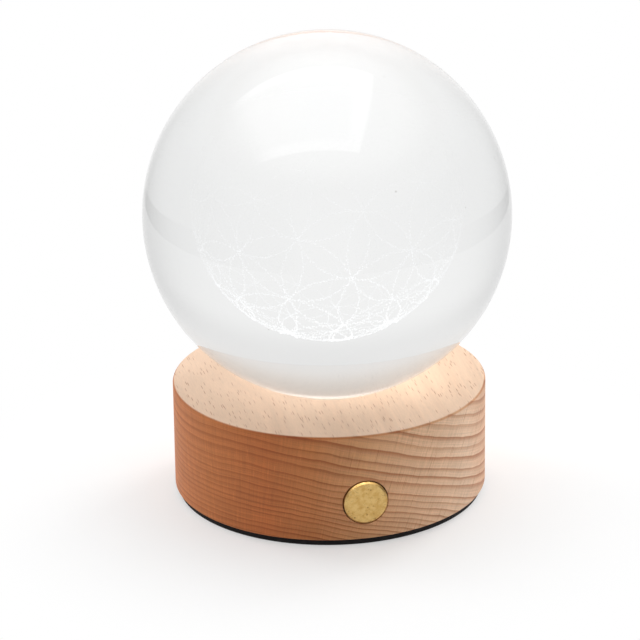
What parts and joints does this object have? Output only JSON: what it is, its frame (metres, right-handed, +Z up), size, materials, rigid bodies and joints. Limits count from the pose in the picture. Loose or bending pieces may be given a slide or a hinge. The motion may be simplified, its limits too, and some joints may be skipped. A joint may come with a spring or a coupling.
{
  "type": "crystal ball lamp",
  "caption": "Clear glass ball standing loose in the lit seat of a low round wooden base, with a brass push button in front and a charging port behind.",
  "frame": {"origin": "centre of the foot pad's underside, on the surface that the lamp stands on", "axes": "+Z up through the ball's centre, -Y towards the push button, +Y towards the charging port"},
  "size_m": [0.1, 0.1, 0.129],
  "materials": {
    "crystal": "polished",
    "beech": "oiled satin",
    "foam_black": "matte foam",
    "opal_plastic": "opal",
    "white_plastic": "satin",
    "board_white": "solder mask",
    "lamp_warm": "clear",
    "steel": "plated",
    "spring_steel": "bright",
    "brass": "fine satin face, polished bevel",
    "nylon_black": "matte",
    "plastic_black": "fine texture",
    "chip_black": "matte",
    "ferrite": "matte",
    "ceramic_tan": "satin",
    "board_green": "solder mask",
    "battery_foil": "satin foil",
    "wire_red": "smooth",
    "wire_black": "smooth"
  },
  "bodies": {
    "base": {"wood_base": "beech", "foot_pad": "foam_black", "light_diffuser": "opal_plastic", "reflector_ring": "white_plastic", "led_board": "board_white", "led_1": "lamp_warm", "led_2": "lamp_warm", "led_3": "lamp_warm", "led_4": "lamp_warm", "led_5": "lamp_warm", "led_6": "lamp_warm", "led_board_screw_1": "steel", "led_board_screw_2": "steel", "led_board_screw_3": "steel", "button_bush": "nylon_black", "return_spring": "spring_steel", "switch_body": "chip_black", "switch_board": "board_green", "port_bezel": "plastic_black", "usb_shell": "steel", "usb_tongue": "plastic_black", "control_board": "board_green", "charger_chip": "chip_black", "driver_chip": "chip_black", "inductor": "ferrite", "capacitor_1": "ceramic_tan", "capacitor_2": "ceramic_tan", "control_board_screw_1": "steel", "control_board_screw_2": "steel", "battery_cell": "battery_foil", "battery_tape": "foam_black", "battery_socket": "white_plastic", "battery_plug": "white_plastic", "battery_wire_red": "wire_red", "battery_wire_black": "wire_black", "led_wire_red": "wire_red", "led_wire_black": "wire_black", "switch_wire_red": "wire_red", "switch_wire_black": "wire_black", "bottom_plate": "plastic_black", "plate_screw_1": "steel", "plate_screw_2": "steel", "plate_screw_3": "steel", "plate_screw_4": "steel"},
    "ball": {"crystal_ball": "crystal"},
    "button": {"button_cap": "brass", "retaining_clip": "spring_steel", "switch_plunger": "white_plastic"}
  },
  "joints": [
    {"name": "ball_lift", "type": "slide", "parent": "base", "child": "ball", "axis": [0, 0, 1], "range_m": [0, 0.06]},
    {"name": "button_press", "type": "slide", "parent": "base", "child": "button", "axis": [0, 1, 0], "range_m": [0, 0.0006], "stiffness_N_per_m": 800, "springref_m": -0.001, "deforming": ["return_spring"]}
  ]
}
